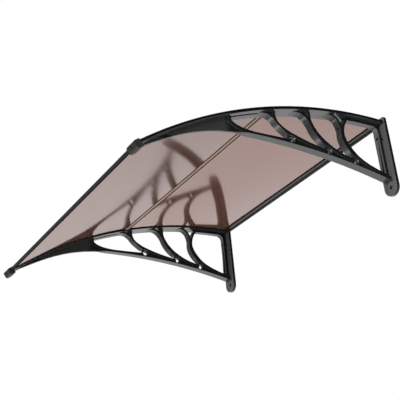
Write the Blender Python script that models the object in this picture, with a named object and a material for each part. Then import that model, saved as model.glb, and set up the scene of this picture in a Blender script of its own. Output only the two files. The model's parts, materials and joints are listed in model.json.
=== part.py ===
"""Arched polycarbonate door canopy on two moulded wall brackets.

Metres, +Z up. The wall is the plane Y = 0, the canopy reaches out along -Y and X runs along the wall.
The origin is the middle of the wall seal's flat back, where the roof meets the wall.

Side views are drawn as (depth, height): depth is measured out from the wall, height up from the lower
wall bolts. The roof is an arc in that view, and what lies on it is drawn as (along, above): distance
along the arc and above the bearing face of the brackets.
"""

import math

import bmesh
import bpy
from mathutils import Matrix, Vector
from mathutils.geometry import delaunay_2d_cdt, interpolate_bezier

# Roof
CANOPY_WIDTH = 1.000
BRACKET_INSET = 0.025
ROOF_RADIUS = 1.5683
ROOF_CROWN_DEPTH = 0.0352
ROOF_CROWN_HEIGHT = 0.2306
SHEET_THICKNESS = 0.003
SHEET_FRONT_DEPTH = 0.934
JOINT_DEPTH = 0.482
FIT_GAP = 0.0003

# Bracket flanges, ribs and web
FLANGE_WIDTH = 0.050
FLANGE_THICKNESS = 0.0042
WEB_THICKNESS = 0.006
RIB_WIDTH = 0.024
RIB_THICKNESS = 0.0085
CHORD_RADIUS = 2.160
CHORD_CROWN_DEPTH = 0.490
CHORD_CROWN_HEIGHT = 0.0709
CHORD_FLANGE_WIDTH = 0.030
CHORD_FLANGE_THICKNESS = 0.004
CHORD_FRONT_DEPTH = 0.565
CHORD_FRONT_WIDTH = 0.023
CHORD_POINT_LENGTH = 0.035
CHORD_POINT_WIDTH = 0.008
NOSE_TIP_SETBACK = 0.012
NOSE_TIP_ANGLE = math.radians(24)
NOSE_CHORD_HANDLE = 0.180
NOSE_TIP_HANDLE = 0.070
NOSE_RIM_THICKNESS = 0.013
NOSE_RIM_WIDTH = 0.015

# Bosses with open bores, where the spokes stand on the chord
BOSS_DEPTHS = (0.397, 0.255, 0.149)
BOSS_RISE = 0.0185
BOSS_RADIUS = 0.0135
BOSS_WIDTH = 0.015
BOSS_BORE_RADIUS = 0.0085
BOSS_COLLAR_RADIUS = 0.011
BOSS_COLLAR_WIDTH = 0.018

# Windows, each drawn in a unit bay: 0 to 1 from its front post to its rear post, and 0 to 1 from the
# underside of the chord to the underside of the flange
WINDOW_TIP_DEPTH = 0.6155
WINDOW_FRONT_SHARES = (
    ((0.01, 0.99), (0.00, 0.81), (0.02, 0.64), (0.08, 0.44), (0.20, 0.25), (0.40, 0.15), (0.96, 0.15)),
    ((-0.39, 1.01), (-0.40, 0.85), (-0.35, 0.64), (-0.22, 0.47), (-0.04, 0.34), (0.42, 0.18), (0.94, 0.11)),
    ((-0.56, 1.01), (-0.56, 0.79), (-0.47, 0.62), (-0.33, 0.47), (-0.10, 0.32), (0.36, 0.17), (0.93, 0.11)),
    ((-0.01, 0.99), (-0.15, 0.88), (-0.26, 0.71), (-0.27, 0.54), (-0.14, 0.37), (0.11, 0.21),
     (0.51, 0.12), (1.14, 0.08)),
)
WINDOW_REAR_SHARES = (
    ((0.98, 0.25), (0.93, 0.27), (0.86, 0.36), (0.77, 0.52), (0.70, 0.72), (0.63, 0.87), (0.55, 0.95),
     (0.42, 1.01)),
    ((0.97, 0.20), (0.87, 0.23), (0.72, 0.35), (0.60, 0.52), (0.53, 0.69), (0.44, 0.83), (0.31, 0.94),
     (0.03, 1.01)),
    ((0.98, 0.17), (0.87, 0.21), (0.70, 0.31), (0.59, 0.43), (0.55, 0.56), (0.56, 0.70), (0.48, 0.87),
     (0.31, 0.96), (0.02, 1.01)),
)
TOP_WEB_DROP = 0.002
BRANCH_SHARE = 0.62

# Wall end of a bracket
PLATE_WIDTH = 0.058
PLATE_THICKNESS = 0.011
PLATE_TOP_HEIGHT = 0.250
PLATE_CORNER_RADIUS = 0.005
BOLT_RADIUS = 0.0055
BOLT_SEAT_RADIUS = 0.020
BOLT_SEAT_DEPTH = 0.0015
WALL_RIM_DEPTH = 0.0283
WALL_RIM_WIDTH = 0.019
WALL_RIM_THICKNESS = 0.006
WALL_RIM_CORNER = 0.020
WALL_RIM_DROP = 0.012
UPPER_BOLT_HEIGHT = 0.1735
UPPER_BOLT_RADIUS = 0.0042
UPPER_TUBE_RADIUS = 0.0095
CORNER_RIB_THICKNESS = 0.005

# Roof profiles
STRIP_WIDTH = 0.046
STRIP_THICKNESS = 0.0035
JOINT_WEB = 0.002
JOINT_LIP_LENGTH = 0.020
JOINT_LIP_THICKNESS = 0.0015
BAR_WALL = 0.0025
BAR_GRIP = 0.007
BAR_NOSE = 0.006
REAR_BAR_WEB = 0.002
REAR_BAR_LENGTH = 0.017
REAR_BAR_SKIRT = 0.006
SEAL_FRONT_DROP = 0.005
SEAL_WALL_DROP = 0.002
SEAL_WALL_RISE = 0.0085
SEAL_TOP_WIDTH = 0.003

# End caps of the front bar
CAP_WIDTH = 0.045
CAP_WALL = 0.003
CAP_FRONT = 0.0145
CAP_REAR = 0.008
CAP_DROP = 0.014
CAP_CORNER = 0.006

# Fasteners, those of the press strips by their share of the way to the front edge
STRIP_SCREW_SHARES = (0.086, 0.342, 0.600, 0.792, 0.953)
SCREW_HEAD_RADIUS = 0.0055
SCREW_HEAD_HEIGHT = 0.003
SCREW_HEAD_BEVEL = 0.0015
SCREW_SHANK_RADIUS = 0.002
SCREW_GRIP = 0.0035
WASHER_RADIUS = 0.0075
WASHER_THICKNESS = 0.0015
REAR_SCREW_ALONG = 0.010
CAP_SCREW_INSET = 0.019
CAP_SCREW_WALL = 0.003
CAP_SCREW_TIP = 0.0015

CURVE_STEPS = 3
ROOF_STEP = 0.030
ROUND_SIDES = 24
FASTENER_SIDES = 12
WELD_DISTANCE = 0.000002
PLAN_TOLERANCE = 0.00001
FLAT_ANGLE = math.radians(0.2)

# Derived heights above the bearing face
SHEET_TOP = FIT_GAP + SHEET_THICKNESS
STRIP_BASE = SHEET_TOP + FIT_GAP
STRIP_TOP = STRIP_BASE + STRIP_THICKNESS
BAR_TOP = STRIP_BASE + BAR_WALL
BAR_MIDDLE = (BAR_TOP - BAR_WALL) / 2
CAP_SCREW_SEAT = BAR_NOSE + FIT_GAP + CAP_SCREW_WALL
BRACKET_X = CANOPY_WIDTH / 2 - BRACKET_INSET
BRACKET_INNER_X = BRACKET_X - FLANGE_WIDTH / 2
BRACKET_CENTRES = (-BRACKET_X, BRACKET_X)
NOSE_TIP_DEPTH = SHEET_FRONT_DEPTH - NOSE_TIP_SETBACK
CHORD_POINT_DEPTH = CHORD_FRONT_DEPTH + CHORD_POINT_LENGTH


def angle_at(depth):
    """Angle of the roof's normal at a depth."""
    return math.asin((depth - ROOF_CROWN_DEPTH) / ROOF_RADIUS)


def on_roof(angle, above, along=0.0):
    """Side-view point over the bearing face, moved along the arc."""
    turn = angle + along / ROOF_RADIUS
    radius = ROOF_RADIUS + above
    depth = ROOF_CROWN_DEPTH + radius * math.sin(turn)
    height = ROOF_CROWN_HEIGHT - ROOF_RADIUS + radius * math.cos(turn)
    return depth, height


def roof_height(depth, above=0.0):
    radius = ROOF_RADIUS + above
    rise = math.sqrt(radius ** 2 - (depth - ROOF_CROWN_DEPTH) ** 2)
    return ROOF_CROWN_HEIGHT - ROOF_RADIUS + rise


def chord_height(depth):
    rise = math.sqrt(CHORD_RADIUS ** 2 - (depth - CHORD_CROWN_DEPTH) ** 2)
    return CHORD_CROWN_HEIGHT - CHORD_RADIUS + rise


FRONT_ANGLE = angle_at(SHEET_FRONT_DEPTH)
JOINT_ANGLE = angle_at(JOINT_DEPTH)
BAR_BACK_ANGLE = angle_at(PLATE_THICKNESS + FIT_GAP)
FLANGE_END_ANGLE = FRONT_ANGLE - (BAR_GRIP + FIT_GAP) / ROOF_RADIUS
ROOF_SCREW_ANGLES = [BAR_BACK_ANGLE + REAR_SCREW_ALONG / ROOF_RADIUS]
ROOF_SCREW_ANGLES += [angle_at(SHEET_FRONT_DEPTH * share) for share in STRIP_SCREW_SHARES]
SEAL_MIDDLE = (SEAL_WALL_RISE - SEAL_WALL_DROP) / 2
ORIGIN_HEIGHT = roof_height(0.0) + SEAL_MIDDLE


def world(x, side_point):
    depth, height = side_point
    return x, -depth, height - ORIGIN_HEIGHT


def clear_scene():
    for old in list(bpy.data.objects):
        bpy.data.objects.remove(old, do_unlink=True)


def add_object(name, mesh):
    piece = bpy.data.objects.new(name, mesh)
    bpy.context.collection.objects.link(piece)
    return piece


def solid_from(name, bm):
    bmesh.ops.recalc_face_normals(bm, faces=bm.faces)
    mesh = bpy.data.meshes.new(name)
    bm.to_mesh(mesh)
    bm.free()
    return add_object(name, mesh)


def prism(name, outline, x_low, x_high):
    """Solid with a side-view outline, from one X to another."""
    bm = bmesh.new()
    low = bm.faces.new([bm.verts.new(world(x_low, point)) for point in outline])
    grown = bmesh.ops.extrude_face_region(bm, geom=[low])
    moved = [part for part in grown["geom"] if isinstance(part, bmesh.types.BMVert)]
    bmesh.ops.translate(bm, vec=(x_high - x_low, 0, 0), verts=moved)
    return solid_from(name, bm)


def turned(name, outline, place, sides=ROUND_SIDES):
    """Solid of revolution of (radius, height) points, put in place by a matrix."""
    bm = bmesh.new()
    turns = [2 * math.pi * step / sides for step in range(sides)]
    rings = []
    for radius, height in outline:
        ring = [(radius * math.cos(turn), radius * math.sin(turn), height) for turn in turns]
        rings.append([bm.verts.new(point) for point in (ring if radius else ring[:1])])
    pairs = list(zip(rings, rings[1:]))
    if outline[0][0] and outline[-1][0]:
        pairs.append((rings[-1], rings[0]))
    for one, two in pairs:
        for side in range(sides):
            corners = [one[side % len(one)], one[(side + 1) % sides % len(one)]]
            corners += [two[(side + 1) % sides % len(two)], two[side % len(two)]]
            bm.faces.new(list(dict.fromkeys(corners)))
    bmesh.ops.transform(bm, matrix=place, verts=bm.verts)
    return solid_from(name, bm)


def rod(name, radius, start, end, sides=ROUND_SIDES):
    """Round bar between two points in world space."""
    axis = Vector(end) - Vector(start)
    place = Matrix.Translation(start) @ axis.to_track_quat("Z", "Y").to_matrix().to_4x4()
    return turned(name, ((0, 0), (radius, 0), (radius, axis.length), (0, axis.length)), place, sides)


def combine(piece, tools, operation):
    """Apply a Boolean with each tool in turn and remove the tools."""
    for tool in tools:
        step = piece.modifiers.new("combine", "BOOLEAN")
        step.solver = "EXACT"
        step.operation = operation
        step.object = tool
        graph = bpy.context.evaluated_depsgraph_get()
        mesh = bpy.data.meshes.new_from_object(piece.evaluated_get(graph))
        piece.modifiers.clear()
        bm = bmesh.new()
        bm.from_mesh(mesh)
        bmesh.ops.remove_doubles(bm, verts=bm.verts, dist=WELD_DISTANCE)
        bmesh.ops.dissolve_degenerate(bm, edges=bm.edges, dist=WELD_DISTANCE)
        bm.to_mesh(mesh)
        bm.free()
        piece.data = mesh
        bpy.data.objects.remove(tool, do_unlink=True)
    return piece


def smooth_line(points):
    """Curve through points, with tangents from their neighbours."""
    points = [Vector(point) for point in points]
    ends = [2 * points[0] - points[1]] + points + [2 * points[-1] - points[-2]]
    line = [points[0]]
    for before, start, end, after in zip(ends, ends[1:], ends[2:], ends[3:]):
        span = (end - start).length
        leave = (end - before).normalized() * span / 3
        arrive = (after - start).normalized() * span / 3
        line += interpolate_bezier(start, start + leave, end - arrive, end, CURVE_STEPS + 1)[1:]
    return line


def offset_line(line, distance, end_distance=None):
    """Line moved to its left by a distance, which may change evenly to another one at the line's end."""
    change = 0 if end_distance is None else (end_distance - distance) / (len(line) - 1)
    moved = []
    for index, point in enumerate(line):
        before = line[max(index - 1, 0)]
        after = line[min(index + 1, len(line) - 1)]
        along = (after - before).normalized()
        moved.append(point + Vector((-along.y, along.x)) * (distance + change * index))
    return moved


def keep_below(line, above):
    return [Vector((point.x, min(point.y, roof_height(point.x, above)))) for point in line]


def roof_line(start, end, above):
    """Arc points over the roof between two angles."""
    count = max(1, math.ceil(abs(end - start) * ROOF_RADIUS / ROOF_STEP))
    return [Vector(on_roof(start + (end - start) * step / count, above)) for step in range(count + 1)]


def layer(start, end, low, high):
    """Outline between two arcs of the roof."""
    return roof_line(start, end, high) + roof_line(end, start, low)


def rib(line, thickness, width, end_thickness=None):
    """Panels of a rib with one face on a line and its thickness to the left, one for each stretch."""
    buried = -FLANGE_THICKNESS / 3
    face = keep_below(line, 2 * buried)
    back = keep_below(offset_line(line, thickness, end_thickness), buried)
    stretches = zip(face, face[1:], back[1:], back)
    return [(panel, width) for panel in stretches if (panel[1] - panel[0]).dot(panel[2] - panel[3]) > 0]


def paint_width(painted, panels):
    """Width where the given panels lie over each other: an opening clears what was painted before it."""
    width = 0
    for index in sorted(painted):
        panel_width = panels[index][1]
        width = max(width, panel_width) if panel_width else 0
    return width


def counter_clockwise(outline):
    points = [Vector(point) for point in outline]
    doubled_area = sum(one.cross(two) for one, two in zip(points, points[1:] + points[:1]))
    return points if doubled_area > 0 else points[::-1]


def chord_flange_half(depth):
    """Half width of the chord's flange: it narrows to the front and ends in a point on the web."""
    beyond = (depth - CHORD_FRONT_DEPTH) / CHORD_POINT_LENGTH
    if beyond > 0:
        return (CHORD_FRONT_WIDTH + (CHORD_POINT_WIDTH - CHORD_FRONT_WIDTH) * beyond) / 2
    return (CHORD_FLANGE_WIDTH + (CHORD_FRONT_WIDTH - CHORD_FLANGE_WIDTH) * depth / CHORD_FRONT_DEPTH) / 2


def relief(name, panels):
    """Solid that is symmetric about X = 0 and as wide at each point as the panels painted there."""
    corners = []
    faces = []
    for outline, _ in panels:
        faces.append(list(range(len(corners), len(corners) + len(outline))))
        corners += counter_clockwise(outline)
    plan, _, triangles, _, _, painted = delaunay_2d_cdt(corners, [], faces, 0, PLAN_TOLERANCE)
    widths = [paint_width(found, panels) / 2 for found in painted]
    beside = {}
    levels = {}
    for triangle, width in zip(triangles, widths):
        for start, end in zip(triangle, triangle[1:] + triangle[:1]):
            beside[start, end] = width
            if width:
                levels.setdefault(start, set()).update((-width, width))
    bm = bmesh.new()
    verts = {}

    def vert(corner, x):
        if (corner, x) not in verts:
            on_chord = abs(x) == CHORD_FLANGE_WIDTH / 2
            half = chord_flange_half(plan[corner].x) if on_chord else abs(x)
            verts[corner, x] = bm.verts.new(world(math.copysign(half, x), plan[corner]))
        return verts[corner, x]

    for triangle, width in zip(triangles, widths):
        for x in (-width, width) if width else ():
            bm.faces.new([vert(corner, x) for corner in triangle])
    for (start, end), width in beside.items():
        other = beside.get((end, start), 0)
        if width <= other:
            continue
        spans = ((-width, -other), (other, width)) if other else ((-width, width),)
        for low, high in spans:
            up = sorted(x for x in levels[end] if low <= x <= high)
            down = sorted((x for x in levels[start] if low <= x <= high), reverse=True)
            bm.faces.new([vert(end, x) for x in up] + [vert(start, x) for x in down])
    bmesh.ops.dissolve_limit(bm, angle_limit=FLAT_ANGLE, verts=bm.verts, edges=bm.edges)
    return solid_from(name, bm)


def bay_posts():
    """Front and rear depth of each window bay."""
    posts = (WINDOW_TIP_DEPTH,) + BOSS_DEPTHS + (WALL_RIM_DEPTH,)
    return list(zip(posts, posts[1:]))


def bay_line(posts, points):
    """Smooth curve through points given in a unit bay."""
    front, rear = posts
    line = []
    for across, share in points:
        depth = front + (rear - front) * across
        low = chord_height(depth)
        line.append((depth, low + (roof_height(depth, -FLANGE_THICKNESS) - low) * share))
    return smooth_line(line)


def wall_rim_line():
    """Inner edge of the rim along the wall and under the roof, with its round corner."""
    above = -FLANGE_THICKNESS - WALL_RIM_DROP
    top = roof_height(WALL_RIM_DEPTH + WALL_RIM_CORNER, above)
    line = [Vector((WALL_RIM_DEPTH, chord_height(WALL_RIM_DEPTH) + CHORD_FLANGE_THICKNESS))]
    steps = 2 * CURVE_STEPS
    for step in range(steps + 1):
        turn = math.pi / 2 * step / steps
        depth = WALL_RIM_DEPTH + WALL_RIM_CORNER * (1 - math.cos(turn))
        line.append(Vector((depth, top - WALL_RIM_CORNER * (1 - math.sin(turn)))))
    spoke = BOSS_DEPTHS[-1] + BOSS_RADIUS
    return line + roof_line(angle_at(line[-1].x + ROOF_STEP), angle_at(spoke), above)


def nose_line():
    """Lower edge of the web in front of the chord, which leaves it in its own direction."""
    start = Vector((CHORD_FRONT_DEPTH, chord_height(CHORD_FRONT_DEPTH)))
    end = Vector((NOSE_TIP_DEPTH, roof_height(NOSE_TIP_DEPTH, -FLANGE_THICKNESS)))
    turn = math.asin((CHORD_CROWN_DEPTH - CHORD_FRONT_DEPTH) / CHORD_RADIUS)
    leave = start + Vector((math.cos(turn), math.sin(turn))) * NOSE_CHORD_HANDLE
    arrive = end - Vector((math.cos(NOSE_TIP_ANGLE), -math.sin(NOSE_TIP_ANGLE))) * NOSE_TIP_HANDLE
    return interpolate_bezier(start, leave, arrive, end, 4 * CURVE_STEPS)


def chord_line(front, rear):
    count = max(1, math.ceil(abs(front - rear) / ROOF_STEP))
    depths = [front + (rear - front) * step / count for step in range(count + 1)]
    return [Vector((depth, chord_height(depth))) for depth in depths]


def web_outline():
    """Side view of the whole bracket between the flange, the chord's underside and the plate."""
    inside_plate = PLATE_THICKNESS / 2
    top = roof_line(angle_at(inside_plate), angle_at(NOSE_TIP_DEPTH), -FLANGE_THICKNESS / 2)
    return top + nose_line()[::-1] + chord_line(CHORD_FRONT_DEPTH, inside_plate)[1:]


def window(front, rear, above):
    """Opening between two edge lines, closed under the roof."""
    edge = keep_below(front + rear, above)
    return edge + roof_line(angle_at(edge[-1].x), angle_at(edge[0].x), above)[1:-1]


def wall_window(front, rim):
    """Opening of the last bay, inside the rim."""
    sill = [point for point in front if point.x > rim[0].x and point.y < rim[-1].y]
    return sill + rim[1:]


def share_at(point):
    """Share of the way from the chord's underside to the flange's underside."""
    low = chord_height(point.x)
    return (point.y - low) / (roof_height(point.x, -FLANGE_THICKNESS) - low)


def branch_gap(rear, front):
    """Opening between the two branches at the top of a spoke, its edges buried in their ribs."""
    half = RIB_THICKNESS / 2
    forward = [point for point in offset_line(rear, half) if share_at(point) > BRANCH_SHARE]
    back = [point for point in offset_line(front, half) if share_at(point) > BRANCH_SHARE]
    return forward + back


def boss_centre(depth):
    return depth, chord_height(depth) + BOSS_RISE


def circle(centre, radius):
    turns = [2 * math.pi * step / ROUND_SIDES for step in range(ROUND_SIDES)]
    return [(centre[0] + radius * math.cos(turn), centre[1] + radius * math.sin(turn)) for turn in turns]


def wall_plate():
    """Flat plate on the wall: round ear at the bottom, small corner radii at the top."""
    half = PLATE_WIDTH / 2
    corner = PLATE_CORNER_RADIUS
    rounds = (
        (0, 0, half, math.pi, 2 * math.pi, 4 * CURVE_STEPS),
        (half - corner, PLATE_TOP_HEIGHT - corner, corner, 0, math.pi / 2, CURVE_STEPS),
        (corner - half, PLATE_TOP_HEIGHT - corner, corner, math.pi / 2, math.pi, CURVE_STEPS),
    )
    outline = []
    for x, height, radius, start, end, steps in rounds:
        turns = [start + (end - start) * step / steps for step in range(steps + 1)]
        outline += [(x + radius * math.cos(t), height + radius * math.sin(t)) for t in turns]
    bm = bmesh.new()
    back = bm.faces.new([bm.verts.new(world(x, (0, height))) for x, height in outline])
    grown = bmesh.ops.extrude_face_region(bm, geom=[back])
    moved = [part for part in grown["geom"] if isinstance(part, bmesh.types.BMVert)]
    bmesh.ops.translate(bm, vec=(0, -PLATE_THICKNESS, 0), verts=moved)
    return solid_from("plate", bm)


def lower_bolt_cut():
    """Turned cutter: bolt hole, seat in the ear and the room for a driver in front of it."""
    seat = PLATE_THICKNESS - BOLT_SEAT_DEPTH
    reach = PLATE_THICKNESS + 2 * BOLT_SEAT_RADIUS
    outline = ((0, -PLATE_THICKNESS), (BOLT_RADIUS, -PLATE_THICKNESS), (BOLT_RADIUS, seat),
               (BOLT_SEAT_RADIUS, seat), (BOLT_SEAT_RADIUS, reach), (0, reach))
    place = Matrix.Translation(world(0, (0, 0))) @ Matrix.Rotation(math.pi / 2, 4, "X")
    return turned("bolt_cut", outline, place)


def upper_bolt_tube(radius, start, end):
    return rod("tube", radius, world(0, (start, UPPER_BOLT_HEIGHT)), world(0, (end, UPPER_BOLT_HEIGHT)))


def corner_rib():
    """Diagonal rib from the rim's round corner to the corner of plate and flange."""
    low = Vector((WALL_RIM_DEPTH + CORNER_RIB_THICKNESS, roof_height(0, -FLANGE_THICKNESS - WALL_RIM_DROP)))
    high = Vector((PLATE_THICKNESS / 2, roof_height(0, -FLANGE_THICKNESS / 2)))
    return rib([high, low], CORNER_RIB_THICKNESS, WALL_RIM_WIDTH)


def screw_hole(x, angle, low, high):
    """Cutter for a roof screw with running clearance."""
    start = world(x, on_roof(angle, low))
    end = world(x, on_roof(angle, high))
    return rod("screw_hole", SCREW_SHANK_RADIUS + FIT_GAP, start, end, FASTENER_SIDES)


def bracket_panels():
    """Side-view outlines of the moulding with their widths, in the order they are painted."""
    fronts = [bay_line(posts, points) for posts, points in zip(bay_posts(), WINDOW_FRONT_SHARES)]
    rears = [bay_line(posts, points) for posts, points in zip(bay_posts(), WINDOW_REAR_SHARES)]
    rim = wall_rim_line()
    inside_plate = PLATE_THICKNESS / 2
    panels = [(web_outline(), WEB_THICKNESS)]
    tops = (-FLANGE_THICKNESS - TOP_WEB_DROP, FLANGE_THICKNESS, FLANGE_THICKNESS)
    panels += [(window(front, rear, above), 0) for front, rear, above in zip(fronts, rears, tops)]
    panels.append((wall_window(fronts[-1], rim), 0))
    panels += [(branch_gap(rear, front), 0) for rear, front in zip(rears, fronts[1:])]
    panels += rib(fronts[0], NOSE_RIM_THICKNESS, NOSE_RIM_WIDTH, RIB_THICKNESS)
    for line in fronts[1:] + rears:
        panels += rib(line, RIB_THICKNESS, RIB_WIDTH)
    panels += rib(rim, WALL_RIM_THICKNESS, WALL_RIM_WIDTH)
    panels += corner_rib()
    chord = chord_line(CHORD_POINT_DEPTH, CHORD_FRONT_DEPTH)
    chord += chord_line(CHORD_FRONT_DEPTH, inside_plate)[1:]
    chord += [point + Vector((0, CHORD_FLANGE_THICKNESS)) for point in chord[::-1]]
    panels.append((chord, CHORD_FLANGE_WIDTH))
    panels.append((layer(angle_at(inside_plate), FLANGE_END_ANGLE, -FLANGE_THICKNESS, 0), FLANGE_WIDTH))
    panels += [(circle(boss_centre(depth), BOSS_RADIUS), BOSS_WIDTH) for depth in BOSS_DEPTHS]
    panels += [(circle(boss_centre(depth), BOSS_COLLAR_RADIUS), BOSS_COLLAR_WIDTH) for depth in BOSS_DEPTHS]
    panels += [(circle(boss_centre(depth), BOSS_BORE_RADIUS), 0) for depth in BOSS_DEPTHS]
    return panels


def bracket_mesh(material):
    """One moulding, centred on X = 0."""
    bracket = relief("bracket", bracket_panels())
    tube = upper_bolt_tube(UPPER_TUBE_RADIUS, PLATE_THICKNESS / 2, WALL_RIM_DEPTH + FIT_GAP)
    combine(bracket, [wall_plate(), tube], "UNION")
    cuts = [lower_bolt_cut()]
    cuts.append(upper_bolt_tube(UPPER_BOLT_RADIUS, -PLATE_THICKNESS, WALL_RIM_DEPTH + PLATE_THICKNESS))
    cuts += [screw_hole(0, angle, -SCREW_GRIP - FIT_GAP, FLANGE_THICKNESS) for angle in ROOF_SCREW_ANGLES]
    combine(bracket, cuts, "DIFFERENCE")
    mesh = bracket.data
    mesh.materials.append(material)
    bpy.data.objects.remove(bracket, do_unlink=True)
    return mesh


def finish(piece, name, material):
    piece.name = name
    piece.data.name = name
    piece.data.materials.clear()
    piece.data.materials.append(material)
    return piece


def drilled_layer(name, start, end, low, high, width, centres, material):
    """Curved strip or sheet with the roof screws' holes that lie in it."""
    middle = sum(centres) / len(centres)
    panel = prism(name, layer(start, end, low, high), middle - width / 2, middle + width / 2)
    angles = [angle for angle in ROOF_SCREW_ANGLES if start < angle < end]
    clear = high - low
    cuts = [screw_hole(x, angle, low - clear, high + clear) for angle in angles for x in centres]
    return finish(combine(panel, cuts, "DIFFERENCE"), name, material)


def profile(name, angle, outline, half_length):
    """Straight profile along X, drawn as (along, above) points."""
    return prism(name, [on_roof(angle, above, along) for along, above in outline], -half_length, half_length)


def joint_profile(material):
    """H-section between the two sheets, from bracket to bracket."""
    web = JOINT_WEB / 2
    lip = JOINT_LIP_LENGTH / 2
    top = STRIP_BASE + JOINT_LIP_THICKNESS
    front_half = [(web, STRIP_BASE), (lip, STRIP_BASE), (lip, top)]
    front_half = [(lip, -JOINT_LIP_THICKNESS), (lip, 0), (web, 0)] + front_half
    rear_half = [(-along, above) for along, above in front_half[::-1]]
    piece = profile("joint", JOINT_ANGLE, front_half + rear_half, BRACKET_INNER_X - FIT_GAP)
    return finish(piece, "sheet_joint_profile", material)


def front_bar(material):
    """Extrusion that grips the front edge of the roof."""
    outline = [(-BAR_GRIP, BAR_TOP), (BAR_NOSE, BAR_TOP), (BAR_NOSE, -BAR_WALL), (-BAR_GRIP, -BAR_WALL),
               (-BAR_GRIP, 0), (FIT_GAP, 0), (FIT_GAP, STRIP_BASE), (-BAR_GRIP, STRIP_BASE)]
    piece = profile("front_bar", FRONT_ANGLE, outline, CANOPY_WIDTH / 2)
    cuts = [cap_screw_hole(side, CAP_SCREW_TIP - FIT_GAP, 2 * BAR_NOSE) for side in (-1, 1)]
    return finish(combine(piece, cuts, "DIFFERENCE"), "front_bar", material)


def rear_bar(material):
    """Extrusion that grips the rear edge of the roof, its skirt cut away over the bracket flanges."""
    outline = [(0, BAR_TOP), (REAR_BAR_LENGTH, BAR_TOP), (REAR_BAR_LENGTH, STRIP_BASE),
               (REAR_BAR_WEB, STRIP_BASE), (REAR_BAR_WEB, 0), (REAR_BAR_LENGTH, 0),
               (REAR_BAR_LENGTH, -BAR_WALL), (REAR_BAR_WEB, -BAR_WALL), (REAR_BAR_WEB, -REAR_BAR_SKIRT),
               (0, -REAR_BAR_SKIRT)]
    half = CANOPY_WIDTH / 2
    piece = profile("rear_bar", BAR_BACK_ANGLE, outline, half)
    start, end, low = -REAR_BAR_WEB, REAR_BAR_LENGTH + REAR_BAR_WEB, -2 * REAR_BAR_SKIRT
    notch = [(start, FIT_GAP), (end, FIT_GAP), (end, low), (start, low)]
    notch = [on_roof(BAR_BACK_ANGLE, above, along) for along, above in notch]
    inner = BRACKET_INNER_X - FIT_GAP
    cuts = [prism("notch", notch, -2 * half, -inner), prism("notch", notch, inner, 2 * half)]
    for x in BRACKET_CENTRES:
        cuts.append(screw_hole(x, ROOF_SCREW_ANGLES[0], FIT_GAP, 2 * BAR_TOP))
    return finish(combine(piece, cuts, "DIFFERENCE"), "rear_bar", material)


def wall_seal(material):
    """Rubber section between the wall and the rear bar, from plate to plate."""
    base = roof_height(0)
    outline = [(0, base - SEAL_WALL_DROP), (PLATE_THICKNESS, base - SEAL_FRONT_DROP),
               (PLATE_THICKNESS, base + BAR_TOP), (SEAL_TOP_WIDTH, base + SEAL_WALL_RISE),
               (0, base + SEAL_WALL_RISE)]
    half = BRACKET_X - PLATE_WIDTH / 2 - FIT_GAP
    return finish(prism("seal", outline, -half, half), "wall_seal", material)


def cap_screw_point(side, along):
    x = side * (CANOPY_WIDTH / 2 - CAP_SCREW_INSET)
    return world(x, on_roof(FRONT_ANGLE, BAR_MIDDLE, along))


def cap_screw_hole(side, start, end, radius=SCREW_SHANK_RADIUS):
    """Cutter along the axis of a cap's screw, from one distance along the roof to another."""
    ends = cap_screw_point(side, start), cap_screw_point(side, end)
    return rod("cap_screw_hole", radius + FIT_GAP, *ends, FASTENER_SIDES)


def front_cap(side, name, material):
    """Moulded cap round the end of the front bar and the tip of the bracket."""
    top = STRIP_TOP + FIT_GAP + CAP_WALL
    corners = ((CAP_FRONT - CAP_CORNER, top - CAP_CORNER, math.pi / 2, 0),
               (CAP_FRONT - CAP_CORNER, CAP_CORNER - CAP_DROP, 0, -math.pi / 2))
    outline = [(-CAP_REAR, -CAP_DROP), (-CAP_REAR, top)]
    for along, above, start, end in corners:
        for step in range(CURVE_STEPS + 1):
            turn = start + (end - start) * step / CURVE_STEPS
            outline.append((along + CAP_CORNER * math.cos(turn), above + CAP_CORNER * math.sin(turn)))
    outer = side * (CANOPY_WIDTH / 2 + FIT_GAP + CAP_WALL)
    inner = outer - side * CAP_WIDTH
    side_points = [on_roof(FRONT_ANGLE, above, along) for along, above in outline]
    cap = prism(name, side_points, min(inner, outer), max(inner, outer))
    soften = cap.modifiers.new("soften", "BEVEL")
    soften.width = CAP_WALL / 2
    soften.segments = 2
    soften.limit_method = "ANGLE"
    back = -2 * CAP_REAR
    roof_room = (-FLANGE_THICKNESS - FIT_GAP, STRIP_TOP + FIT_GAP)
    bar_room = (-BAR_WALL - FIT_GAP, BAR_TOP + FIT_GAP)
    nose = BAR_NOSE + FIT_GAP
    room = [(back, roof_room[0]), (-BAR_GRIP, roof_room[0]), (-BAR_GRIP, bar_room[0]), (nose, bar_room[0]),
            (nose, bar_room[1]), (-BAR_GRIP, bar_room[1]), (-BAR_GRIP, roof_room[1]), (back, roof_room[1])]
    room = [on_roof(FRONT_ANGLE, above, along) for along, above in room]
    ends = (inner - side * CAP_WIDTH, side * (CANOPY_WIDTH / 2 + FIT_GAP))
    tip = -BAR_GRIP - FIT_GAP
    slot = [(back, 0), (tip, 0), (tip, -2 * CAP_DROP), (back, -2 * CAP_DROP)]
    slot = [on_roof(FRONT_ANGLE, above, along) for along, above in slot]
    centre = side * BRACKET_X
    half_slot = WEB_THICKNESS / 2 + FIT_GAP
    cuts = [prism("room", room, min(ends), max(ends))]
    cuts.append(prism("slot", slot, centre - half_slot, centre + half_slot))
    cuts.append(cap_screw_hole(side, 0, 2 * CAP_FRONT))
    cuts.append(cap_screw_hole(side, CAP_SCREW_SEAT, 2 * CAP_FRONT, SCREW_HEAD_RADIUS))
    return finish(combine(cap, cuts, "DIFFERENCE"), name, material)


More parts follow.
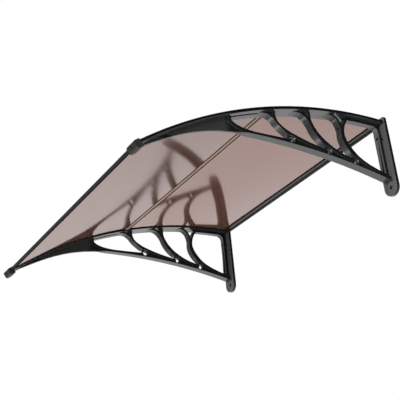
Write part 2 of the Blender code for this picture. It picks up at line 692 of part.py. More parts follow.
def screw_mesh(name, length, material):
    """Pan-head screw with its head's bearing face at Z = 0."""
    outline = ((0, SCREW_HEAD_HEIGHT), (SCREW_HEAD_RADIUS - SCREW_HEAD_BEVEL, SCREW_HEAD_HEIGHT),
               (SCREW_HEAD_RADIUS, SCREW_HEAD_HEIGHT - SCREW_HEAD_BEVEL), (SCREW_HEAD_RADIUS, 0),
               (SCREW_SHANK_RADIUS, 0), (SCREW_SHANK_RADIUS, SCREW_SHANK_RADIUS - length), (0, -length))
    return shared_mesh(turned(name, outline, Matrix(), FASTENER_SIDES), material)


def washer_mesh(material):
    bore = SCREW_SHANK_RADIUS + FIT_GAP
    outline = ((bore, 0), (WASHER_RADIUS, 0), (WASHER_RADIUS, WASHER_THICKNESS), (bore, WASHER_THICKNESS))
    return shared_mesh(turned("sealing_washer", outline, Matrix(), FASTENER_SIDES), material)


def shared_mesh(piece, material):
    mesh = piece.data
    mesh.materials.append(material)
    mesh.shade_smooth()
    mesh.set_sharp_from_angle(angle=math.radians(35))
    bpy.data.objects.remove(piece, do_unlink=True)
    return mesh


def place_on_roof(name, mesh, x, angle, above):
    piece = add_object(name, mesh)
    piece.location = world(x, on_roof(angle, above))
    piece.rotation_euler.x = angle


def material(name, color, roughness, metallic=0.0, transmission=0.0):
    made = bpy.data.materials.new(name)
    made.use_nodes = True
    shader = made.node_tree.nodes["Principled BSDF"]
    shader.inputs["Base Color"].default_value = (*color, 1)
    shader.inputs["Roughness"].default_value = roughness
    shader.inputs["Metallic"].default_value = metallic
    shader.inputs["Transmission Weight"].default_value = transmission
    return made


def build():
    clear_scene()
    moulding = material("black_moulding", (0.025, 0.027, 0.027), 0.45)
    bronze = material("bronze_polycarbonate", (0.42, 0.33, 0.31), 0.08, transmission=0.3)
    coated = material("coated_aluminium", (0.05, 0.052, 0.052), 0.4, metallic=0.6)
    clear = material("clear_polycarbonate", (0.55, 0.5, 0.45), 0.15, transmission=0.5)
    rubber = material("black_rubber", (0.03, 0.03, 0.03), 0.8)
    steel = material("black_steel", (0.06, 0.06, 0.06), 0.35, metallic=0.9)

    web = (JOINT_WEB / 2 + FIT_GAP) / ROOF_RADIUS
    rear_edge = BAR_BACK_ANGLE + (REAR_BAR_WEB + FIT_GAP) / ROOF_RADIUS
    sheets = (("rear_sheet", rear_edge, JOINT_ANGLE - web), ("front_sheet", JOINT_ANGLE + web, FRONT_ANGLE))
    for name, start, end in sheets:
        drilled_layer(name, start, end, FIT_GAP, SHEET_TOP, CANOPY_WIDTH, BRACKET_CENTRES, bronze)
    joint_profile(clear)
    front_bar(coated)
    rear_bar(coated)
    wall_seal(rubber)

    bracket = bracket_mesh(moulding)
    strip_start = BAR_BACK_ANGLE + (REAR_BAR_LENGTH + FIT_GAP) / ROOF_RADIUS
    washer_base = STRIP_TOP + FIT_GAP
    head_base = washer_base + WASHER_THICKNESS + FIT_GAP
    strip_screw = screw_mesh("strip_screw", head_base + SCREW_GRIP, steel)
    bar_screw = screw_mesh("bar_screw", BAR_TOP + FIT_GAP + SCREW_GRIP, steel)
    cap_screw = screw_mesh("cap_screw", CAP_SCREW_SEAT + FIT_GAP - CAP_SCREW_TIP, steel)
    washer = washer_mesh(rubber)
    for side, word in ((-1, "left"), (1, "right")):
        centre = side * BRACKET_X
        add_object("bracket_" + word, bracket).location.x = centre
        drilled_layer("press_strip_" + word, strip_start, FLANGE_END_ANGLE, STRIP_BASE, STRIP_TOP,
                      STRIP_WIDTH, (centre,), coated)
        front_cap(side, "front_cap_" + word, moulding)
        place_on_roof("rear_bar_screw_" + word, bar_screw, centre, ROOF_SCREW_ANGLES[0], BAR_TOP + FIT_GAP)
        screw = add_object("cap_screw_" + word, cap_screw)
        screw.location = cap_screw_point(side, CAP_SCREW_SEAT + FIT_GAP)
        screw.rotation_euler.x = FRONT_ANGLE + CAP_SCREW_SEAT / ROOF_RADIUS + math.pi / 2
        for number, angle in enumerate(ROOF_SCREW_ANGLES[1:], start=1):
            place_on_roof(f"strip_screw_{word}_{number}", strip_screw, centre, angle, head_base)
            place_on_roof(f"strip_washer_{word}_{number}", washer, centre, angle, washer_base)


build()
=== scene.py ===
"""Arched door canopy seen from below, dressed over its CAD frame."""

import json
import math

import bmesh
import bpy
from mathutils import Matrix, Vector


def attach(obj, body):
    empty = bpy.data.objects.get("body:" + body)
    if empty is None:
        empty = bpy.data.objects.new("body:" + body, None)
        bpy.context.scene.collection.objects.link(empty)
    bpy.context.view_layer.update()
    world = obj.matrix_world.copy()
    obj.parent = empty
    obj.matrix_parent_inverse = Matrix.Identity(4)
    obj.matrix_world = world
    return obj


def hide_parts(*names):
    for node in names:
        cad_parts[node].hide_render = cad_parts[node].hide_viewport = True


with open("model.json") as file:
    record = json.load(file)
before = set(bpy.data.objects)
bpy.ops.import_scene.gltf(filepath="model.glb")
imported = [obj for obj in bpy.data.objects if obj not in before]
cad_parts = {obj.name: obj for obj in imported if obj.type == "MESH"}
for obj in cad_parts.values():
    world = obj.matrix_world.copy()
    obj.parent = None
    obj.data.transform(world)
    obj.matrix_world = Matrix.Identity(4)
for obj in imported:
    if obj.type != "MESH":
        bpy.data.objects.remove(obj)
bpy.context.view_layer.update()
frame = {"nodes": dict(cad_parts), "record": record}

# Camera, in the row frame
CAMERA_PLACE = (2.1236, -1.8310, -1.3467)
CAMERA_TURN = (115.542, 4.799, 58.897)
CAMERA_LENS = 73.80
CAMERA_CLIP = (0.05, 100.0)
SENSOR_WIDTH = 36.0

# Floor, and the lamps with their place, size and power and the point that they face
FLOOR_HEIGHT = -3.4
FLOOR_SIZE = 40.0
FLOOR_COLOR = (0.86, 0.86, 0.85, 1)
LAMPS = {
    "key": ((3.1, -4.4, -1.15), 2.1, 165.0),
    "strip": ((-1.9, -1.5, -1.75), 0.9, 19.0),
}
LAMP_AIM = (0.0, -0.45, -0.1)

# World: level of its light, level that reflections see, and the lit side that only they see, as a
# level, a direction and the cosines where it fades out and is full
AMBIENT = 0.75
GLOSS_LEVEL = 0.4
LIT_LEVEL = 1.58
LIT_DIRECTION = (-0.70, 0.50, -0.52)
LIT_FADE = (0.72, 0.985)

# Unlit side of the world, and the share of light that it lacks in reflections and otherwise
DARK_DIRECTION = (0.62, 0.50, 0.60)
DARK_FADE = (0.84, 0.965)
DARK_SHARE = 0.95
DARK_DIFFUSE_SHARE = 0.65

# Arc of the brackets' bearing face: radius, and the crown's depth and height
ROOF_RADIUS = 1.5683
ROOF_CROWN_DEPTH = 0.0352
ROOF_CROWN_RISE = -0.00285

# Sheets: thickness, rows of faces along the arc, and the least cosine to the arc's radius of a face
# that belongs to the top or the underside
SHEET_THICKNESS = 0.003
SHEET_ROWS = 40
FACE_COSINE = 0.9

# Screw holes in the sheets, over each bracket: drill with running clearance, and half the width of
# the column of faces that it goes through
BRACKET_X = 0.475
DRILL_RADIUS = 0.0023
DRILL_LENGTH = 0.02
DRILL_SIDES = 16
HOLE_REACH = 0.012

# Lie of each sheet as its reflections show it: the depth that it is given for, the slope there in
# degrees and how it changes along the roof, along it squared, across and with both, the sideways
# tilt in degrees and how it changes across and along, and the greatest slope
REAR_LIE = {
    "depth": 0.25, "slope": 5.4, "along": -11.4, "squared": 93.0, "across": 9.5, "twist": 1.75,
    "tilt": 0.7, "tilt_across": -6.7, "tilt_along": 1.6, "most": 9.0,
}
FRONT_LIE = {
    "depth": 0.65, "slope": 16.3, "along": 5.9, "squared": -34.8, "across": 12.8, "twist": 10.8,
    "tilt": 3.0, "tilt_across": -5.2, "tilt_along": -7.6, "most": 30.0,
}

# Joint profile: depth of its middle, half its width, how far its colours wander, and the colours with their
# shares of the width, from the rear; the dark rear lip and the brown front edge are partly the profile's
# colour and partly painted shadow of the gaps beside it
JOINT_DEPTH = 0.482
JOINT_HALF = 0.010
JOINT_WANDER = 0.0008
DARK_LIP = (0.035, 0.019, 0.012)
TAN_LIP = (0.52, 0.37, 0.26)
BROWN_EDGE = (0.27, 0.19, 0.14)
JOINT_COLORS = ((0.42, DARK_LIP), (0.5, TAN_LIP), (0.84, TAN_LIP), (0.93, BROWN_EDGE))

# Lower chord's arc, the bosses on it, and the countersinks of their bores: where they start and end
# from the web's middle, and the radius there
CHORD_RADIUS = 2.160
CHORD_CROWN_DEPTH = 0.490
CHORD_CROWN_RISE = -0.16255
BOSS_DEPTHS = (0.397, 0.255, 0.149)
BOSS_RISE = 0.0185
COUNTERSINK_START = 0.003
COUNTERSINK_END = 0.0096
COUNTERSINK_RADII = (0.0084, 0.0128)
COUNTERSINK_SIDES = 32

# Rubber bead between the front bar and the sheet, which ends at the brackets
BEAD_WIDTH = 0.0048
BEAD_HEIGHT = 0.002
BEAD_HALF_LENGTH = 0.447
BEAD_GAP = 0.0004
BEAD_POINTS = 9

# Rounded edges of the mouldings and bars
MOULDING_BEVEL = 0.0009
BAR_BEVEL = 0.0016
BEVEL_SEGMENTS = 2
SMOOTH_ANGLE = math.radians(32)
FLAT_ANGLE = math.radians(0.3)
MERGE_DISTANCE = 1e-6

# Wall ends of the mouldings, paler with painted light and matt where they face the front
MATT_AND_PAINTED_LIGHT_REACH = 0.036
MATT_AND_PAINTED_LIGHT_FADE = 0.001
MATT_AND_PAINTED_LIGHT_FACING = (0.5, 0.8)
MATT_ROUGHNESS = 0.3

# Webs and rims, darker on their sides with painted shade as far forward as this depth
SHADE_DEPTH = 0.615
SHADE_FADE = 0.03
SHADE_FACING = (0.75, 0.95)

# Bolt bores of the wall plates, dark inside with painted shade: height of the axis and a radius just outside
# the bore
BORES = ((-0.2334, 0.0068), (-0.0599, 0.0052))

# Sheen of the bars, which is taken away on the lip under the sheet as painted shade
BAR_SHEEN = 0.3
LIP_FACING = (0.15, 0.45)

# Values of a noise at which a colour or roughness, or the moulding's gloss, reaches its ends
CLOUD_SPAN = (0.3, 0.7)
GLOSS_SPAN = (0.25, 0.75)


class Nodes:
    """Short way to build a node tree."""

    def __init__(self, tree):
        self.tree = tree
        tree.nodes.clear()

    def add(self, kind, settings=None, **inputs):
        """Node of a kind with its settings and with each input set or linked."""
        node = self.tree.nodes.new(kind)
        for key, value in (settings or {}).items():
            setattr(node, key, value)
        for key, value in inputs.items():
            self.put(node.inputs[key.replace("_", " ")], value)
        return node

    def put(self, socket, value):
        if isinstance(value, bpy.types.NodeSocket):
            self.tree.links.new(value, socket)
        else:
            socket.default_value = value

    def math(self, operation, one, two):
        node = self.add("ShaderNodeMath", {"operation": operation})
        self.put(node.inputs[0], one)
        self.put(node.inputs[1], two)
        return node.outputs["Value"]

    def seen_rays(self, *kinds):
        """1 for rays of the given kinds, else 0."""
        path = self.add("ShaderNodeLightPath")
        mask = path.outputs[kinds[0]]
        for kind in kinds[1:]:
            mask = self.math("MAXIMUM", mask, path.outputs[kind])
        return mask

    def parts(self, vector):
        """X, Y and Z of a vector."""
        return self.add("ShaderNodeSeparateXYZ", Vector=vector).outputs

    def toward(self, vector, direction):
        """How far a vector reaches in a direction of length 1."""
        node = self.add("ShaderNodeVectorMath", {"operation": "DOT_PRODUCT"})
        self.put(node.inputs[0], vector)
        self.put(node.inputs[1], direction)
        return node.outputs["Value"]

    def graded(self, value, span, ends=(0.0, 1.0), kind="LINEAR"):
        """Value turned into one that goes between two ends over a span and is level outside it."""
        node = self.add("ShaderNodeMapRange", {"interpolation_type": kind}, Value=value,
                        From_Min=span[0], From_Max=span[1], To_Min=ends[0], To_Max=ends[1])
        return node.outputs["Result"]

    def ramp(self, value, *stops):
        """Value turned into a colour through (position, grey or colour) stops."""
        node = self.add("ShaderNodeValToRGB", Fac=value)
        elements = node.color_ramp.elements
        while len(elements) < len(stops):
            elements.new(0.5)
        for element, (position, color) in zip(elements, stops):
            element.position = position
            element.color = (*color, 1) if isinstance(color, tuple) else (color, color, color, 1)
        return node.outputs["Color"]

    def varied(self, noise, low, high):
        """Grey or colour that varies between two with a noise."""
        return self.ramp(noise, (CLOUD_SPAN[0], low), (CLOUD_SPAN[1], high))

    def mixed(self, share, one, two):
        node = self.add("ShaderNodeMix", {"data_type": "RGBA"}, Factor=share)
        self.put(node.inputs[6], one)
        self.put(node.inputs[7], two)
        return node.outputs[2]

    def noise(self, place, scale, detail):
        return self.add("ShaderNodeTexNoise", Vector=place, Scale=scale, Detail=detail).outputs["Fac"]

    def stretched(self, place, factors):
        return self.add("ShaderNodeMapping", Vector=place, Scale=factors).outputs["Vector"]


def material(name, **constants):
    """Material with a Principled BSDF, its nodes and its coordinates in object space."""
    made = bpy.data.materials.new(name)
    made.use_nodes = True
    nodes = Nodes(made.node_tree)
    shader = nodes.add("ShaderNodeBsdfPrincipled", **constants)
    nodes.add("ShaderNodeOutputMaterial", {"is_active_output": True}, Surface=shader.outputs["BSDF"])
    coordinates = nodes.add("ShaderNodeTexCoord").outputs
    return made, nodes, shader, coordinates


def set_finish(nodes, shader, color, roughness):
    nodes.put(shader.inputs["Base Color"], color)
    nodes.put(shader.inputs["Roughness"], roughness)


def add_bump(nodes, shader, height, strength, distance):
    bump = nodes.add("ShaderNodeBump", Height=height, Strength=strength, Distance=distance)
    nodes.put(shader.inputs["Normal"], bump.outputs["Normal"])


def matt_and_painted_light_front(nodes, place, normal):
    """1 where the wall ends face the front, else 0: there light is painted on and the finish is matt."""
    near = nodes.graded(place["Y"], (-MATT_AND_PAINTED_LIGHT_REACH - MATT_AND_PAINTED_LIGHT_FADE, -MATT_AND_PAINTED_LIGHT_REACH), kind="SMOOTHSTEP")
    facing = nodes.graded(nodes.math("MULTIPLY", normal["Y"], -1.0), MATT_AND_PAINTED_LIGHT_FACING)
    return nodes.math("MULTIPLY", near, facing)


def inside_bore(nodes, place, height, radius):
    """1 within a radius of a bolt's axis, which runs along Y, else 0."""
    across = nodes.math("SUBTRACT", nodes.math("ABSOLUTE", place["X"], 0.0), BRACKET_X)
    up = nodes.math("SUBTRACT", place["Z"], height)
    squared = nodes.math("ADD", nodes.math("MULTIPLY", across, across), nodes.math("MULTIPLY", up, up))
    return nodes.math("LESS_THAN", squared, radius * radius)


def shaded_side(nodes, place, normal):
    """1 on the sides of webs and rims behind the nose and inside the bolt bores, where shade is painted,
    else 0.
    """
    sideways = nodes.graded(nodes.math("ABSOLUTE", normal["X"], 0.0), SHADE_FACING)
    behind = nodes.graded(place["Y"], (-SHADE_DEPTH - SHADE_FADE, -SHADE_DEPTH), kind="SMOOTHSTEP")
    shade = nodes.math("MULTIPLY", sideways, behind)
    # Painted shade inside the bolt bores
    for height, radius in BORES:
        shade = nodes.math("MAXIMUM", shade, inside_bore(nodes, place, height, radius))
    return shade


def black_moulding():
    made, nodes, shader, coordinates = material("black_moulding", IOR=1.42)
    cloud = nodes.noise(coordinates["Object"], scale=14.0, detail=4.0)
    grain = nodes.noise(coordinates["Object"], scale=900.0, detail=2.0)
    place, normal = nodes.parts(coordinates["Object"]), nodes.parts(coordinates["Normal"])
    # Painted light: a paler grey on the wall ends' front faces, which are also rougher
    matt = matt_and_painted_light_front(nodes, place, normal)
    plain = nodes.varied(cloud, (0.031, 0.033, 0.0325), (0.037, 0.0395, 0.039))
    painted_light_grey = nodes.varied(cloud, (0.090, 0.092, 0.092), (0.105, 0.108, 0.108))
    # Painted shade: a near-black grey on the sides of webs and rims behind the nose and inside the bolt
    # bores
    painted_shade_grey = nodes.varied(cloud, (0.0060, 0.0062, 0.0062), (0.0085, 0.0088, 0.0088))
    color = nodes.mixed(shaded_side(nodes, place, normal), nodes.mixed(matt, plain, painted_light_grey), painted_shade_grey)
    gloss = nodes.ramp(cloud, (GLOSS_SPAN[0], 0.17), (GLOSS_SPAN[1], 0.24))
    set_finish(nodes, shader, color, nodes.math("ADD", gloss, nodes.math("MULTIPLY", matt, MATT_ROUGHNESS)))
    add_bump(nodes, shader, grain, strength=0.05, distance=0.0002)
    return made


def bronze_polycarbonate():
    made, nodes, shader, coordinates = material(
        "bronze_polycarbonate", IOR=1.9, Transmission_Weight=1.0, Specular_Tint=(1.0, 0.625, 0.55, 1))
    cloud = nodes.noise(nodes.stretched(coordinates["Object"], (1.0, 2.2, 2.2)), scale=3.0, detail=2.0)
    color = nodes.varied(cloud, (0.115, 0.050, 0.037), (0.128, 0.057, 0.042))
    set_finish(nodes, shader, color, nodes.varied(cloud, 0.09, 0.12))
    return made


def coated_aluminium():
    made, nodes, shader, coordinates = material("coated_aluminium", IOR=1.45)
    cloud = nodes.noise(coordinates["Object"], scale=10.0, detail=3.0)
    peel = nodes.noise(coordinates["Object"], scale=1400.0, detail=2.0)
    color = nodes.varied(cloud, (0.010, 0.0105, 0.0105), (0.014, 0.0145, 0.0145))
    set_finish(nodes, shader, color, nodes.varied(cloud, 0.30, 0.38))
    normal = nodes.parts(coordinates["Normal"])
    # Painted shade: the lip under the sheet gets no reflection, so that it stays dark
    nodes.put(shader.inputs["Specular IOR Level"], nodes.graded(normal["Y"], LIP_FACING, (BAR_SHEEN, 0.0)))
    add_bump(nodes, shader, peel, strength=0.15, distance=0.0002)
    return made


def clear_polycarbonate():
    """Milky warm profile, dark on its rear lip and tan on the front one, whose edge is brown; the dark lip
    and the brown edge are partly painted shadow of the gaps beside it.
    """
    made, nodes, shader, coordinates = material(
        "clear_polycarbonate", IOR=1.58, Transmission_Weight=0.12, Specular_IOR_Level=0.0)
    place = coordinates["Object"]
    angle = math.asin((JOINT_DEPTH - ROOF_CROWN_DEPTH) / ROOF_RADIUS)
    forward = Vector((0, -math.cos(angle), -math.sin(angle)))
    middle = forward.dot(Vector((0, *on_roof(angle, 0))))
    wander = nodes.math("MULTIPLY", nodes.noise(place, scale=25.0, detail=2.0), JOINT_WANDER)
    share = nodes.math("ADD", nodes.toward(place, forward), wander)
    share = nodes.graded(share, (middle - JOINT_HALF, middle + JOINT_HALF))
    drawn = nodes.noise(nodes.stretched(place, (0.4, 30.0, 30.0)), scale=12.0, detail=2.0)
    set_finish(nodes, shader, nodes.ramp(share, *JOINT_COLORS), nodes.varied(drawn, 0.12, 0.2))
    add_bump(nodes, shader, drawn, strength=0.1, distance=0.0004)
    return made


def dull_moulding():
    """Darker and less glossy plastic of the bars' end caps."""
    made, nodes, shader, coordinates = material("dull_moulding", IOR=1.42, Specular_IOR_Level=0.25)
    cloud = nodes.noise(coordinates["Object"], scale=40.0, detail=4.0)
    grain = nodes.noise(coordinates["Object"], scale=1200.0, detail=2.0)
    color = nodes.varied(cloud, (0.019, 0.018, 0.018), (0.026, 0.024, 0.024))
    set_finish(nodes, shader, color, nodes.varied(cloud, 0.42, 0.52))
    add_bump(nodes, shader, grain, strength=0.15, distance=0.0002)
    return made


def black_rubber():
    made, nodes, shader, coordinates = material("black_rubber", IOR=1.45, Specular_IOR_Level=0.02)
    cloud = nodes.noise(coordinates["Object"], scale=30.0, detail=4.0)
    grain = nodes.noise(coordinates["Object"], scale=1800.0, detail=2.0)
    color = nodes.varied(cloud, (0.014, 0.014, 0.014), (0.022, 0.022, 0.021))
    set_finish(nodes, shader, color, nodes.varied(cloud, 0.62, 0.74))
    add_bump(nodes, shader, grain, strength=0.2, distance=0.0002)
    return made


def black_steel():
    made, nodes, shader, coordinates = material("black_steel", Metallic=0.85)
    cloud = nodes.noise(coordinates["Object"], scale=120.0, detail=3.0)
    color = nodes.varied(cloud, (0.045, 0.045, 0.047), (0.075, 0.075, 0.077))
    set_finish(nodes, shader, color, nodes.varied(cloud, 0.28, 0.40))
    add_bump(nodes, shader, cloud, strength=0.1, distance=0.0001)
    return made


def paint(piece, finish):
    piece.data.materials.clear()
    piece.data.materials.append(finish)


def linked(name, mesh):
    """New object in the scene."""
    made = bpy.data.objects.new(name, mesh)
    bpy.context.scene.collection.objects.link(made)
    return made


def mesh_of(bm, name):
    """Mesh of a bmesh, which is freed."""
    mesh = bpy.data.meshes.new(name)
    bm.to_mesh(mesh)
    bm.free()
    return mesh


def cut(mesh, tools):
    """New mesh: the first one without what a bmesh of closed tools takes away."""
    body = linked("body", mesh)
    cutter = linked("cutter", mesh_of(tools, "cutter"))
    step = body.modifiers.new("cut", "BOOLEAN")
    step.operation = "DIFFERENCE"
    step.solver = "EXACT"
    step.object = cutter
    made = bpy.data.meshes.new_from_object(body.evaluated_get(bpy.context.evaluated_depsgraph_get()))
    for piece in (body, cutter):
        bpy.data.objects.remove(piece)
    return made


def on_roof(angle, above):
    """Point over the bearing face as (Y, Z) in the row frame."""
    radius = ROOF_RADIUS + above
    depth = ROOF_CROWN_DEPTH + radius * math.sin(angle)
    return -depth, ROOF_CROWN_RISE - ROOF_RADIUS + radius * math.cos(angle)


def from_axis(point):
    """Depth and height of a point from the axis of the roof's arc."""
    return -point.y - ROOF_CROWN_DEPTH, point.z - ROOF_CROWN_RISE + ROOF_RADIUS


def angle_of(point):
    return math.atan2(*from_axis(point))


def countersinks(x):
    """Cones that open both ends of a bracket's three boss bores."""
    tools = bmesh.new()
    for depth in BOSS_DEPTHS:
        step = depth - CHORD_CROWN_DEPTH
        height = CHORD_CROWN_RISE - CHORD_RADIUS + math.sqrt(CHORD_RADIUS ** 2 - step ** 2) + BOSS_RISE
        for side in (-1, 1):
            middle = x + side * (COUNTERSINK_START + COUNTERSINK_END) / 2
            place = Matrix.Translation((middle, -depth, height))
            turn = Matrix.Rotation(side * math.pi / 2, 4, "Y")
            bmesh.ops.create_cone(
                tools, cap_ends=True, segments=COUNTERSINK_SIDES, radius1=COUNTERSINK_RADII[0],
                radius2=COUNTERSINK_RADII[1], depth=COUNTERSINK_END - COUNTERSINK_START, matrix=place @ turn)
    return tools


def softened(node, name, width, tools=None):
    """Copy of a CAD node with rounded edges, cut by tools, which stands for it."""
    mesh = node.data.copy()
    if tools:
        mesh = cut(mesh, tools)
    bm = bmesh.new()
    bm.from_mesh(mesh)
    bmesh.ops.remove_doubles(bm, verts=bm.verts, dist=MERGE_DISTANCE)
    bmesh.ops.dissolve_limit(bm, angle_limit=FLAT_ANGLE, verts=bm.verts, edges=bm.edges)
    bm.to_mesh(mesh)
    bm.free()
    if mesh.has_custom_normals:
        mesh.attributes.remove(mesh.attributes["custom_normal"])
    mesh.shade_smooth()
    piece = linked(name, mesh)
    bevel = piece.modifiers.new("round_edges", "BEVEL")
    bevel.width = width
    bevel.segments = BEVEL_SEGMENTS
    bevel.limit_method = "ANGLE"
    bevel.angle_limit = SMOOTH_ANGLE
    bevel.harden_normals = True
    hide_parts(node.name)
    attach(piece, "root")
    return piece


def skin(bm, rings):
    """Faces between rings of points that follow each other."""
    for one, two in zip(rings, rings[1:]):
        for index in range(len(one)):
            after = (index + 1) % len(one)
            bm.faces.new((one[index], two[index], two[after], one[after]))


def even_arc(corners):
    """Bmesh of an evenly curved sheet as wide, long and thick as the given corners reach."""
    turns = [angle_of(corner) for corner in corners]
    radii = [math.hypot(*from_axis(corner)) for corner in corners]
    low, high = min(radii) - ROOF_RADIUS, max(radii) - ROOF_RADIUS
    first, last = min(turns), max(turns)
    half = max(corner.x for corner in corners)
    columns = [-half, -BRACKET_X - HOLE_REACH, -BRACKET_X + HOLE_REACH]
    columns += [-x for x in columns[::-1]]
    bm = bmesh.new()
    rings = []
    for row in range(SHEET_ROWS + 1):
        angle = first + (last - first) * row / SHEET_ROWS
        top = [bm.verts.new((x, *on_roof(angle, high))) for x in columns]
        under = [bm.verts.new((x, *on_roof(angle, low))) for x in columns[::-1]]
        rings.append(top + under)
    skin(bm, rings)
    for ring in (rings[0], rings[-1]):
        for index in range(len(columns) - 1):
            bm.faces.new((ring[index], ring[index + 1], ring[-index - 2], ring[-index - 1]))
    bmesh.ops.recalc_face_normals(bm, faces=bm.faces)
    return bm


def drills(corners, screws):
    """Cylinders for the screws whose axes pass through the sheet with the given corners."""
    turns = [angle_of(corner) for corner in corners]
    tools = bmesh.new()
    for screw in screws:
        ends = [vert.co for vert in screw.data.vertices]
        middle = sum(ends, Vector()) / len(ends)
        angle = angle_of(middle)
        if min(turns) < angle < max(turns):
            x = math.copysign(BRACKET_X, middle.x)
            place = Matrix.Translation((x, *on_roof(angle, SHEET_THICKNESS / 2)))
            bmesh.ops.create_cone(
                tools, cap_ends=True, segments=DRILL_SIDES, radius1=DRILL_RADIUS, radius2=DRILL_RADIUS,
                depth=DRILL_LENGTH, matrix=place @ Matrix.Rotation(angle, 4, "X"))
    return tools


def lie_normal(place, lie):
    """Outward normal of a sheet's underside at a point, from its lie."""
    step = -place.y - lie["depth"]
    slope = lie["slope"] + lie["along"] * step + lie["squared"] * step * step
    slope += (lie["across"] + lie["twist"] * step) * place.x
    slope = math.radians(min(slope, lie["most"]))
    tilt = math.radians(lie["tilt"] + lie["tilt_across"] * place.x + lie["tilt_along"] * step)
    return Vector((-math.sin(tilt), math.cos(tilt) * math.sin(slope), -math.cos(tilt) * math.cos(slope)))


def lay(mesh, lie):
    """Give a sheet's top and underside the normals of its lie, and its edges and holes flat ones."""
    mesh.shade_smooth()
    normals = []
    for face in mesh.polygons:
        depth, height = from_axis(face.center)
        facing = face.normal.dot(Vector((0, -depth, height)).normalized())
        for corner in face.loop_indices:
            place = mesh.vertices[mesh.loops[corner].vertex_index].co
            if facing > FACE_COSINE:
                normals.append(-lie_normal(place, lie))
            elif facing < -FACE_COSINE:
                normals.append(lie_normal(place, lie))
            else:
                normals.append(face.normal.copy())
    mesh.normals_split_custom_set(normals)


def smooth_sheet(node, name, lie, screws):
    """Evenly curved sheet in the place of a CAD sheet, with its screw holes."""
    corners = [vert.co for vert in node.data.vertices]
    mesh = cut(mesh_of(even_arc(corners), name), drills(corners, screws))
    lay(mesh, lie)
    piece = linked(name, mesh)
    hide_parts(node.name)
    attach(piece, "root")
    return piece


def edge_bead(name, angle):
    """Half-round rubber bead pressed into the mouth of the front bar, under the sheet."""
    bm = bmesh.new()
    rings = []
    for x in (-BEAD_HALF_LENGTH, BEAD_HALF_LENGTH):
        ring = []
        for index in range(BEAD_POINTS):
            turn = math.pi * index / (BEAD_POINTS - 1)
            along = BEAD_WIDTH / 2 * math.cos(turn) / ROOF_RADIUS
            above = -BEAD_GAP - BEAD_HEIGHT * math.sin(turn)
            ring.append(bm.verts.new((x, *on_roof(angle + along, above))))
        bm.faces.new(ring)
        rings.append(ring)
    skin(bm, rings)
    bmesh.ops.recalc_face_normals(bm, faces=bm.faces)
    mesh = mesh_of(bm, name)
    mesh.shade_smooth()
    mesh.set_sharp_from_angle(angle=SMOOTH_ANGLE)
    piece = linked(name, mesh)
    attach(piece, "root")
    return piece


def lobe(nodes, direction, fade):
    """1 where the world lies toward a direction, fading to 0 between two cosines."""
    view = nodes.add("ShaderNodeTexCoord").outputs["Generated"]
    return nodes.graded(nodes.toward(view, Vector(direction).normalized()), fade, kind="SMOOTHSTEP")


def world_light():
    """World with a lit and an unlit side, which is white to the camera and through the sheets."""
    world = bpy.data.worlds.new("studio")
    bpy.context.scene.world = world
    world.use_nodes = True
    nodes = Nodes(world.node_tree)
    glossy = nodes.seen_rays("Is Glossy Ray")
    shown = nodes.seen_rays("Is Camera Ray", "Is Transmission Ray")
    lit = nodes.math("MULTIPLY", lobe(nodes, LIT_DIRECTION, LIT_FADE), LIT_LEVEL - GLOSS_LEVEL)
    lit = nodes.math("ADD", lit, GLOSS_LEVEL - AMBIENT)
    level = nodes.math("ADD", nodes.math("MULTIPLY", lit, glossy), AMBIENT)
    share = nodes.math("MULTIPLY", glossy, DARK_SHARE - DARK_DIFFUSE_SHARE)
    share = nodes.math("ADD", share, DARK_DIFFUSE_SHARE)
    unlit = nodes.math("MULTIPLY", lobe(nodes, DARK_DIRECTION, DARK_FADE), share)
    level = nodes.math("MULTIPLY", level, nodes.math("SUBTRACT", 1.0, unlit))
    level = nodes.math("MAXIMUM", level, shown)
    light = nodes.add("ShaderNodeBackground", Color=level, Strength=1.0)
    nodes.add("ShaderNodeOutputWorld", Surface=light.outputs["Background"])


def pale_floor():
    """Matt floor, which is white through the sheets and left out of reflections."""
    made = bpy.data.materials.new("pale_floor")
    made.use_nodes = True
    nodes = Nodes(made.node_tree)
    matt = nodes.add("ShaderNodeBsdfDiffuse", Color=FLOOR_COLOR)
    glow = nodes.add("ShaderNodeEmission", Color=(1, 1, 1, 1), Strength=1.0)
    mixed = nodes.add("ShaderNodeMixShader")
    nodes.put(mixed.inputs[0], nodes.seen_rays("Is Transmission Ray"))
    nodes.put(mixed.inputs[1], matt.outputs["BSDF"])
    nodes.put(mixed.inputs[2], glow.outputs["Emission"])
    nodes.add("ShaderNodeOutputMaterial", Surface=mixed.outputs["Shader"])

    mesh = bpy.data.meshes.new("floor")
    half = FLOOR_SIZE / 2
    corners = [(-half, -half, 0), (half, -half, 0), (half, half, 0), (-half, half, 0)]
    mesh.from_pydata(corners, [], [(0, 1, 2, 3)])
    floor = linked("floor", mesh)
    floor.location.z = FLOOR_HEIGHT
    floor.visible_glossy = False
    paint(floor, made)


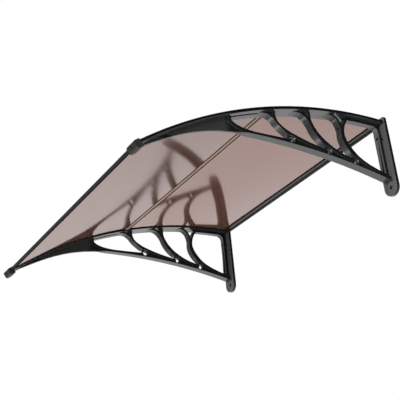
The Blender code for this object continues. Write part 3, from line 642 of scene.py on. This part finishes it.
def lamps():
    for name, (place, size, power) in LAMPS.items():
        lamp = bpy.data.lights.new(name, "AREA")
        lamp.size = size
        lamp.energy = power
        light = linked(name, lamp)
        light.location = place
        light.visible_camera = False
        light.rotation_mode = "QUATERNION"
        light.rotation_quaternion = (Vector(LAMP_AIM) - Vector(place)).to_track_quat("-Z", "Y")


def camera():
    lens = bpy.data.cameras.new("camera")
    lens.lens = CAMERA_LENS
    lens.sensor_width = SENSOR_WIDTH
    lens.clip_start, lens.clip_end = CAMERA_CLIP
    viewer = linked("camera", lens)
    viewer.location = CAMERA_PLACE
    viewer.rotation_euler = [math.radians(turn) for turn in CAMERA_TURN]
    bpy.context.scene.camera = viewer


# Finishes of the CAD nodes
cad = frame["nodes"]
slots = {part["node"]: part["material_slot"] for part in frame["record"]["subparts"]}
finishes = {
    "black_moulding": black_moulding(),
    "bronze_polycarbonate": bronze_polycarbonate(),
    "coated_aluminium": coated_aluminium(),
    "clear_polycarbonate": clear_polycarbonate(),
    "black_rubber": black_rubber(),
    "black_steel": black_steel(),
}
dull = dull_moulding()
for node_name, node in cad.items():
    paint(node, dull if "cap" in node_name else finishes[slots[node_name]])

# Brackets and bars with rounded edges
for side in ("left", "right"):
    node = cad["bracket_" + side]
    middle = math.copysign(BRACKET_X, node.data.vertices[0].co.x)
    piece = softened(node, "moulded_bracket_" + side, MOULDING_BEVEL, countersinks(middle))
    paint(piece, finishes["black_moulding"])
for end in ("front", "rear"):
    piece = softened(cad[end + "_bar"], f"coated_{end}_bar", BAR_BEVEL)
    paint(piece, finishes["coated_aluminium"])

# Roof sheets
roof_screws = [node for name, node in cad.items() if "screw" in name and "cap" not in name]
for sheet, lie in (("rear_sheet", REAR_LIE), ("front_sheet", FRONT_LIE)):
    piece = smooth_sheet(cad[sheet], sheet.replace("_", "_roof_"), lie, roof_screws)
    paint(piece, finishes["bronze_polycarbonate"])

# Bead in the mouth of the front bar
mouth = min(angle_of(vert.co) for vert in cad["front_bar"].data.vertices)
bead = edge_bead("front_bar_bead", mouth - (BEAD_WIDTH / 2 + BEAD_GAP) / ROOF_RADIUS)
paint(bead, finishes["black_rubber"])

# Studio
bpy.context.scene.view_settings.view_transform = "Standard"
world_light()
pale_floor()
lamps()
camera()
